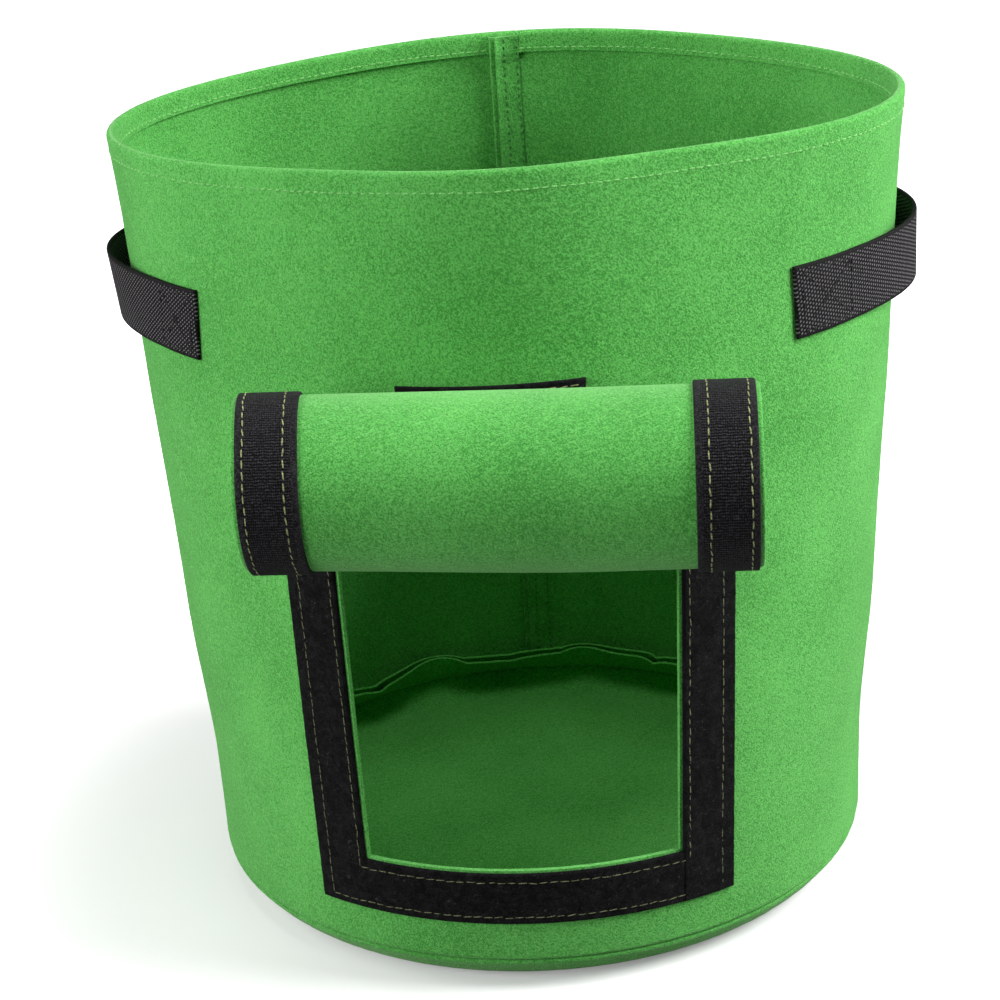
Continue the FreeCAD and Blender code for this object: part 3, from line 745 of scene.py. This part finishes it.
def makeBackSeam():
    # Two layers turned to one side behind the wall's joined edges, puckered between the
    # stitches. They slope down to the seam, and their free edges curl off.
    low = cadSpan("back_seam_allowance")[0]
    made = []
    zs = np.linspace(seamLevel + 8, bagHeight - 2.0, 110)

    def overHem(z):
        return 2.3 * smoothStep((z - bagHeight + 14) / 5)

    layers = (("back_seam_under", 0.3, 1.6, 0.0, 0.7), ("back_seam_over", 2.0, 1.5, 2.6, 2.6))
    for name, near, thick, inset, curl in layers:
        def surface(u, v, out):
            deep = 0.35 * np.sin(v / 2.9 + np.sin(v / 23)) * np.sin(v / 17 + u / 5) * (out > near + 0.5)
            join = np.clip((u + 11.0) / 11.3, 0, 1)
            off = (out + curl * smoothStep((low[0] + 6 - u) / 6)) * (1 - join) + 0.3 * join
            return backPoint(u, v, off + overHem(v) + deep)

        us = edgeLines(low[0] + inset, 0.3, 2.0, 0.8, roundHigh=False)
        piece = ribbon(name, surface, us, zs, thick, 0.8, ends=(False, False), sides=(True, False), lift=near)
        made.append(dress(piece, felt, "bag", ("back_seam_allowance",)))
    # two rows of stitches on the upper layer
    rows = []
    for x in (-0.6, -6.8):
        u = x + 0.25 * np.sin(zs / 9)
        line = surface(u, zs, near + thick)
        rows.append((line, backPoint(u, zs, 20.0) - backPoint(u, zs, 19.0)))
    look = {**feltStitch, "gap": 0.5, "width": 0.9}
    # the dark thread is painted shade for the needle dimples
    sew("back_seam_stitches", rows, look, dimpleShadeThread, ("back_seam_thread",))
    return made


backSeam = makeBackSeam()


def makeHemStitches():
    # one row seen outside the rim and its other side seen inside
    level = cadSpan("hem_thread")[0][2] + 0.4
    angle = np.linspace(-math.pi, math.pi, 721)
    rows = []
    for out, sign in ((0.05, 1), (-2 * wallLook["thick"] - wallLook["foldGap"] - 0.05, -1)):
        line = wallPoint(angle, level + 0.3 * np.sin(9 * angle) * np.sin(angle * 4), out)
        rows.append((line, outward(angle) * sign))
    sew("hem_stitches", rows, {**feltStitch, "width": 0.75, "sink": 0.1}, greenThread, ("hem_thread",))


makeHemStitches()
print("seams made")


tapeTop = sideHigh[2]
tapeReach = -sideLow[0] - windowHalf(tapeTop)


def makeFrameTapes():
    # A side tape is one strip down to the foot of the frame. Beside the bottom tape the left one's
    # inner edge is not rounded, so that the two meet flush; the right one lies a little higher.
    look = tapeLook
    for name, sign, over in (("left", -1, 0.0), ("right", 1, 0.25)):
        def surface(u, v, out):
            return frontPoint(sign * (windowHalf(v) + u), v, out)

        us = edgeLines(look["inset"], tapeReach, 1.5, look["rounding"])
        vs = edgeLines(sideLow[2], tapeTop, 1.8, look["rounding"])
        u, v = gridOf(us, vs)
        inner = u - look["inset"]
        if over == 0:
            inner = np.where(v < lowHigh[2], np.hypot(inner, np.minimum(v - lowHigh[2], 0)), inner)
        distance = np.minimum(np.minimum(tapeReach - u, inner), np.minimum(v - sideLow[2], tapeTop - v))
        piece = ribbon("frame_loop_tape_" + name, surface, us, vs, look["thick"] + over, look["rounding"],
                       lift=look["gap"], bumps=0.07, seed=10 + sign,
                       fall=quarterRound(distance, look["rounding"]))
        dress(piece, loopTape, "bag", ("frame_tape_" + name,))
    # the bottom tape runs between the side tapes, each row stretched to meet them
    us = edgeLines(lowLow[2], lowHigh[2], 1.5, look["rounding"])
    vs = np.linspace(-1, 1, 90)
    clear = 0.02

    def across(u, v, out):
        return frontPoint(v * (windowHalf(u) + look["inset"] - clear), u, out)

    piece = ribbon("frame_loop_tape_bottom", across, us, vs, look["thick"], look["rounding"],
                   ends=(False, False), lift=look["gap"], bumps=0.07, seed=12)
    dress(piece, loopTape, "bag", ("frame_tape_bottom",))

    rows = []
    out = look["gap"] + look["thick"]
    for reach, foot in ((look["inset"] + look["innerRow"], lowHigh[2] - look["footInner"]),
                        (tapeReach - look["outerRow"], lowLow[2] + look["footOuter"])):
        z = np.linspace(tapeTop - 1, foot, 90)
        x = np.linspace(-1, 1, 110) * (windowHalf(foot) + reach)
        side = windowHalf(z) + reach
        for rowX, rowZ, over in ((-side, z, 0.0), (x, foot + 0 * x, 0.0), (side, z, 0.2)):
            rows.append((frontPoint(rowX, rowZ, out + over), outward(frontAngle(rowX, rowZ))))
    look = {**tapeStitch, "sink": 0.05, "width": 0.45, "gap": 0.12}
    sew("frame_stitches", rows, look, dullThread, ("frame_thread",))


tapeStitch = {"pitch": 4.4, "gap": 0.24, "width": 0.55, "flat": 0.6, "arch": 0.1, "slant": 0.10,
              "wander": 0.12}
makeFrameTapes()


keeperLook = {"thick": 1.6, "rounding": 0.8, "gap": 0.2, "trim": 1.6, "lower": 2.2, "shift": -2.0,
              "tilt": 0.012, "row": 2.4}


def makeKeeper():
    # a short strip, sewn on a little askew
    look = keeperLook
    low, high = cadSpan("keeper_tape")
    us = edgeLines(low[2] + look["trim"], high[2], 1.5, look["rounding"])
    vs = edgeLines(low[0], high[0], 1.8, look["rounding"])

    def surface(u, v, out):
        return frontPoint(v + look["shift"], u - look["lower"] + look["tilt"] * v, out)

    piece = ribbon("keeper_loop_tape", surface, us, vs, look["thick"], look["rounding"],
                   lift=look["gap"], bumps=0.07, seed=20)
    dress(piece, loopTape, "bag", ("keeper_tape",))
    (lowU, highU), (lowV, highV) = [(side[0] + look["row"], side[-1] - look["row"]) for side in (us, vs)]
    rows = sewnBox(surface, [(lowU, lowV), (lowU, highV), (highU, highV), (highU, lowV)], 40,
                   look["gap"] + look["thick"])
    sew("keeper_stitches", rows, tapeStitch, oliveThread, ("keeper_thread",))


makeKeeper()
print("wall tapes made")


hinges = [np.array(joints["flap_unroll"]["pos_m"][1:]) / mm]
hinges += [np.array(joints["flap_fold_%02d" % k]["pos_m"][1:]) / mm for k in range(2, stripCount + 1)]
turn = math.radians(joints["flap_unroll"]["range_deg"][1])
stripLength = np.linalg.norm(hinges[1] - hinges[0])
# lean of the first strip from straight down, turning outwards, in (y, z)
firstLean = math.atan2(-(hinges[1] - hinges[0])[0], -(hinges[1] - hinges[0])[1])
flapHalf = cadSpan("flap_strip_06")[1][0]
flapLook = {
    "thick": 2.1, "segments": 10, "tapeWidth": 23.4, "tapeThick": 1.3, "tapeRounding": 0.6,
    "tapeInset": 1.7, "outerRow": 3.0, "innerRow": 5.2, "edgeTape": 16.0,
    # the flap is sewn a little off the middle, its left end is rolled tighter and higher, and
    # the left end of its outer turn is drawn out to the side
    "shift": 4.0, "tighter": 1.4, "higher": 2.8, "drawn": 3.4,
}
rollRadius = stripLength / 2 / math.tan(turn / 2)
bendLength = rollRadius * turn


def flapLine(s, out):
    # (y, z) on the flap, s from its first hinge, out on the side of its tapes: straight for half
    # a strip, then one circle that touches every strip's middle, then straight
    s = np.asarray(s, float)
    last = (stripCount - 1) * bendLength
    bend = np.clip(s - stripLength / 2, 0, last)
    lean = firstLean + bend / rollRadius
    normal = np.stack([np.cos(lean), -np.sin(lean)], -1)
    forward = np.stack([-np.sin(lean), -np.cos(lean)], -1)
    middle = hinges[0] + stripLength / 2 * np.array([-math.sin(firstLean), -math.cos(firstLean)])
    centre = middle - rollRadius * np.array([math.cos(firstLean), -math.sin(firstLean)])
    straight = np.minimum(s - stripLength / 2, 0) + np.maximum(s - stripLength / 2 - last, 0)
    return centre + normal * (rollRadius + np.asarray(out)[..., None]) + forward * straight[..., None]


def sideways(x, s):
    # how far the flap lies to the right of the bag's middle plane
    return flapLook["shift"] - flapLook["drawn"] * smoothStep(-x / flapHalf) * smoothStep((s - 115) / 65)


def flapPoint(x, s, out):
    x, s, out = np.broadcast_arrays(x, s, out)
    left = smoothStep((40 - x) / 140) * smoothStep(s / 45)
    yz = flapLine(s, out - flapLook["tighter"] * left)
    return np.stack([x + sideways(x, s), yz[..., 0], yz[..., 1] + flapLook["higher"] * left], -1)


def flapEnds(k):
    # where tile k starts and ends along the flap: from the middle of a strip to the next one's
    first = 0.0 if k == 0 else stripLength / 2 + (k - 1) * bendLength
    last = stripLength / 2 + k * bendLength
    if k == stripCount:
        last = stripLength + (stripCount - 1) * bendLength
    return first, last


def inMetres(yz):
    return (0.0, yz[0] * mm, yz[1] * mm)


def bendWith(piece, k):
    # tile k spans hinge k, from strip k to strip k + 1, and tile 0 from the bag to strip 1; the last tile is
    # attached to its strip's body and every other tile is only baked in place, with no bend
    if k == stripCount:
        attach(piece, "flap_row_%02d" % k)
        return
    first, last = flapEnds(k)
    before = "bag" if k == 0 else "flap_row_%02d" % k
    "flap_row_%02d" % (k + 1)
    inMetres(flapLine(first, 0.0))
    inMetres(flapLine(last, 0.0))
    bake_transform(piece)


def makeFlapTile(k):
    first, last = flapEnds(k)
    half = flapLook["thick"] / 2
    free = k == stripCount
    xs = edgeLines(-flapHalf, flapHalf, 6.0, half)
    s = np.linspace(first, last, flapLook["segments"] + 1)
    if free:
        s = edgeLines(first, last, 1.5, half, roundLow=False)
    fall = np.minimum.outer(edgeFall(xs, half), edgeFall(s, half, roundLow=False, roundHigh=free))
    x, along = gridOf(xs, s)
    out = half * fall
    tile = slab("flap_felt_%02d" % k, flapPoint(x, along, out), flapPoint(x, along, -out))
    dress(tile, felt, nodes=("flap_strip_%02d" % k,))
    bendWith(tile, k)
    # the tile's length, at least 10.001 millimetres, is worked out but not used; the last tile is a little
    # shorter; a flat size has to be over ten millimetres; the last tile is a little shorter
    length = max(last - first, 10.001) * mm
    2 * flapHalf * mm * length


def makeFlapHead():
    # The sewn strip follows the round wall; below it the felt swings out along a cubic to the
    # straight fold line and on to the first strip's middle.
    look = flapLook
    headLow, headHigh = cadSpan("flap_head")
    out = 0.2 + look["thick"] / 2
    xs = edgeLines(-flapHalf, flapHalf, 6.0, look["thick"] / 2)
    sewn = np.linspace(headHigh[2], headLow[2] + 6.0, 5)
    x, z = gridOf(xs, sewn)
    top = frontPoint(x + sideways(x, 0 * x), z, out)
    start, end = top[:, -1], flapPoint(xs, np.zeros(len(xs)), 0.0)
    slopeOut = flapPoint(xs, np.ones(len(xs)), 0.0) - end
    reach = np.linalg.norm(end - start, axis=1, keepdims=True)
    slopeIn = np.array([0, 0, -1.0]) * reach * 0.9
    curve = cubic(np.linspace(0, 1, 11)[1:, None, None], start, end, slopeIn, slopeOut * reach)
    s = np.linspace(0, stripLength / 2, 5)[1:]
    x, along = gridOf(xs, s)
    middle = np.concatenate([top, curve.transpose(1, 0, 2), flapPoint(x, along, 0.0)], axis=1)
    normals = gridNormals(middle)
    straight = flapPoint(x, along, 1.0) - flapPoint(x, along, 0.0)
    normals[:, -4:] = straight
    facing = np.sign((normals * straight[:, :1]).sum(-1))[:, -5:-4]
    normals[:, :-4] *= facing[..., None]
    half = (look["thick"] / 2 * edgeFall(xs, look["thick"] / 2))[:, None, None]
    head = slab("flap_felt_00", middle + normals * half, middle - normals * half)
    dress(head, felt, nodes=("flap_head",))
    bendWith(head, 0)

    level = cadSpan("flap_seam_thread")[0][2] + 0.4
    line = np.linspace(-flapHalf + 2, flapHalf - 2, 120) + look["shift"]
    row = (frontPoint(line, level, 0.25 + look["thick"]), outward(frontAngle(line, level)))
    sew("flap_seam_stitches", [row], feltStitch, greenThread, ("flap_seam_thread",))


def makeFlapTapes(k):
    # both side tapes of a tile and their stitches
    look = flapLook
    first, last = flapEnds(k)
    first = first + (2.2 if k == 0 else 0.0)
    ends = (k == 0, k == stripCount)
    lift = look["thick"] / 2 + 0.05
    rows = []
    for side, sign in (("left", -1), ("right", 1)):
        def surface(u, v, out):
            return flapPoint(sign * (flapHalf - look["tapeInset"] - u), v, out)

        us = edgeLines(0.0, look["tapeWidth"], 1.5, look["tapeRounding"])
        s = edgeLines(first, last - (0.8 if k == stripCount else 0), 1.7, look["tapeRounding"], *ends)
        piece = ribbon("flap_hook_tape_%s_%02d" % (side, k), surface, us, s, look["tapeThick"],
                       look["tapeRounding"], ends=ends, lift=lift)
        dress(piece, hookTape, nodes=("flap_side_tapes_%02d" % max(k, 1),))
        bendWith(piece, k)
        for u in (look["outerRow"], look["tapeWidth"] - look["innerRow"]):
            rows.append(sewnRow(surface, u, np.linspace(first, last, 30), lift + look["tapeThick"]))
    bendWith(sew("flap_stitches_%02d" % k, rows, {**tapeStitch, "seed": 30 + k}, oliveThread, body=None), k)


def makeFreeEdgeTape():
    # the short hook tape along the free edge, in one length on each of the last two tiles
    look = flapLook
    end = flapEnds(stripCount)[1] - 1.0
    half = flapHalf - look["tapeInset"] - look["tapeWidth"]
    split = flapEnds(stripCount)[0]

    def surface(u, v, out):
        return flapPoint(v, u, out)

    for name, k, first, last, ends in (
            ("flap_edge_tape_upper", stripCount - 1, end - look["edgeTape"], split, (True, False)),
            ("flap_edge_tape_lower", stripCount, split, end, (False, True))):
        us = edgeLines(first, last, 1.7, look["tapeRounding"], *ends)
        vs = edgeLines(-half, half, 3.0, look["tapeRounding"])
        piece = ribbon(name, surface, us, vs, look["tapeThick"], look["tapeRounding"], sides=ends,
                       lift=look["thick"] / 2 + 0.05)
        dress(piece, hookTape, nodes=("flap_bottom_tape",))
        bendWith(piece, k)


makeFlapHead()
for tile in range(1, stripCount + 1):
    makeFlapTile(tile)
for tile in range(stripCount + 1):
    makeFlapTapes(tile)
makeFreeEdgeTape()
print("flap made")


handleLook = {
    # the rounding of a cut end is an angle round the bag
    "thick": 1.9, "rounding": 0.9, "endRounding": 0.006, "clear": 0.4, "gap": 0.2, "root": 30.0,
    # how far each loop bows out, how much shorter its front sewn end is, and the share by which
    # it bows out more for each millimetre up
    "left": (7.0, 3.5, 0.009), "right": (7.4, -1.5, -0.006),
}


def makeHandle(side, sign):
    # The strap is sewn on at both ends and bows out between them, in two halves that are baked in place.
    look = handleLook
    bowing, shorter, splay = look[side]
    frontLow, frontHigh = cadSpan(side + "_handle_front_tab")
    rearLow, rearHigh = cadSpan(side + "_handle_rear_tab")
    middleZ = (frontLow[2] + frontHigh[2]) / 2
    width = frontHigh[2] - frontLow[2]
    angles = np.linspace(0.15, math.pi - 0.15, 2000)
    ys = -wallRadius(sign * angles, middleZ) * np.cos(angles)

    def at(y):
        return np.interp(y, ys, angles)

    loopFront, loopRear = at(frontHigh[1]), at(rearLow[1])

    def surface(u, v, out):
        share = np.clip((v - loopFront) / (loopRear - loopFront), 0, 1)
        bow = np.sin(math.pi * share) ** 2 * bowing * (1 + splay * u)
        lean = look["gap"] + look["clear"] * smoothStep(share * 12) * smoothStep((1 - share) * 12)
        return wallPoint(sign * v, middleZ + u, out + bow + lean)

    middle = (loopFront + loopRear) / 2
    for name, first, last, root, ends in (
            ("front", at(frontLow[1] + shorter), middle, frontHigh[1], (True, False)),
            ("rear", middle, at(rearHigh[1]), rearLow[1], (False, True))):
        us = edgeLines(-width / 2, width / 2, 2.0, look["rounding"])
        vs = edgeLines(first, last, 2 * look["endRounding"], look["endRounding"], *ends)
        u, v = gridOf(us, vs)
        line = surface(0 * vs, vs, 0.0)
        length = np.cumsum(np.linalg.norm(np.diff(line, axis=0, prepend=line[:1]), axis=1))
        fall = np.minimum.outer(edgeFall(us, look["rounding"]), edgeFall(vs, look["endRounding"], *ends))
        top = surface(u, v, look["thick"] * (0.5 + 0.5 * fall))
        under = surface(u, v, look["thick"] * (0.5 - 0.5 * fall))
        uvs = np.stack([u, 0 * u + sign * length], -1) * uvPerMm
        strap = slab("%s_strap_%s" % (side, name), top, under, uvs=uvs)
        dress(strap, webbing, nodes=("%s_handle_%s_tab" % (side, name), side + "_handle_loop"))
        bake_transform(strap)

    # a box with a cross in it on each sewn end
    rows = []
    reach = width / 2 - 3.0
    for start, stop in ((at(frontLow[1] + shorter + 2.5), at(frontHigh[1] - 1.5)),
                        (at(rearLow[1] + 1.5), at(rearHigh[1] - 2.5))):
        corners = [(-reach, start), (-reach, stop), (reach, stop), (reach, start)]
        rows += sewnBox(surface, corners, 24, look["thick"], crossed=True)
    look = {**tapeStitch, "pitch": 3.2, "width": 0.8}
    sew(side + "_handle_stitches", rows, look, blackThread, (side + "_handle_thread",))


makeHandle("left", -1)
makeHandle("right", 1)
print("handles made")


lightLook = {
    # light from the surroundings, the floor as it looks and as it lights the bag, and its own
    # glow beside the bag, which grows to white between the two distances
    "world": 0.02, "floorSeen": 0.80, "floorLights": 0.25, "floorGlow": 0.20, "fade": (0.20, 0.42),
    "lampSize": 1.0,
    "lamps": {
        # place and power
        "left": ((-1.4, -0.1, 1.15), 10.0), "leftFront": ((-1.3, -1.1, 0.8), 24.0),
        "right": ((1.4, -0.1, 1.15), 46.0), "rightLow": ((1.6, -0.1, 0.35), 9.0),
        "leftLow": ((-1.6, -0.1, 0.35), 5.0), "top": ((0.0, 0.0, 1.8), 10.0),
    },
}


def makeStage():
    look = lightLook
    paint = newPaint("floor")
    seen = paint.add("ShaderNodeLightPath", output="Is Camera Ray")
    lit, shown, near = [(look[key],) * 3 + (1,) for key in ("floorLights", "floorSeen", "floorGlow")]
    away = paint.add("ShaderNodeVectorMath", {"operation": "LENGTH"}, {0: paint.place()}, output="Value")
    glow = paint.mix(paint.step(away, *look["fade"]), near, (1, 1, 1, 1))
    paint.give(paint.tree.nodes["Principled BSDF"],
               {"Base Color": paint.mix(seen, lit, shown), "Roughness": 0.9, "Specular IOR Level": 0.0,
                "Emission Color": paint.mix(seen, (0, 0, 0, 1), glow), "Emission Strength": 1.0})
    mesh = bpy.data.meshes.new("floor")
    mesh.from_pydata([(-8, -8, 0), (8, -8, 0), (8, 8, 0), (-8, 8, 0)], [], [(0, 1, 2, 3)])
    mesh.transform(Matrix.Translation((0, 0, -0.0005)))
    floor = putInScene("floor", mesh)
    floor.data.materials.append(paint.owner)

    world = bpy.data.worlds.new("studio")
    bpy.context.scene.world = world
    paint = Paint(world)
    seen = paint.add("ShaderNodeLightPath", output="Is Camera Ray")
    paint.give(paint.tree.nodes["Background"],
               {"Color": (1, 1, 1, 1), "Strength": seen * (1 - look["world"]) + look["world"]})


def makeLamps():
    for name, (place, power) in lightLook["lamps"].items():
        light = bpy.data.lights.new(name, "AREA")
        light.shape = "DISK"
        light.size = lightLook["lampSize"]
        light.energy = power
        lamp = putInScene(name, light)
        lamp.location = place
        direction = -np.array(place) + np.array([0, 0, 0.17])
        lamp.rotation_euler = Vector(direction).to_track_quat("-Z", "Y").to_euler()


cameraLook = {
    "place": (0.0718, -1.0646, 0.586), "pitch": 24.36, "yaw": 4.42, "roll": -3.54, "lens": 90.18,
    "shiftX": -0.0097, "shiftY": 0.1271,
}


def makeCamera():
    look = cameraLook
    data = bpy.data.cameras.new("camera")
    data.sensor_width = 36
    data.lens = look["lens"]
    data.shift_x = look["shiftX"]
    data.shift_y = look["shiftY"]
    camera = putInScene("camera", data)
    camera.location = look["place"]
    turned = (Matrix.Rotation(math.radians(look["yaw"]), 3, "Z")
              @ Matrix.Rotation(math.radians(90 - look["pitch"]), 3, "X")
              @ Matrix.Rotation(math.radians(look["roll"]), 3, "Z"))
    camera.rotation_euler = turned.to_euler()
    bpy.context.scene.camera = camera
    bpy.context.scene.view_settings.view_transform = "Standard"


makeStage()
makeLamps()
makeCamera()
print("stage ready")
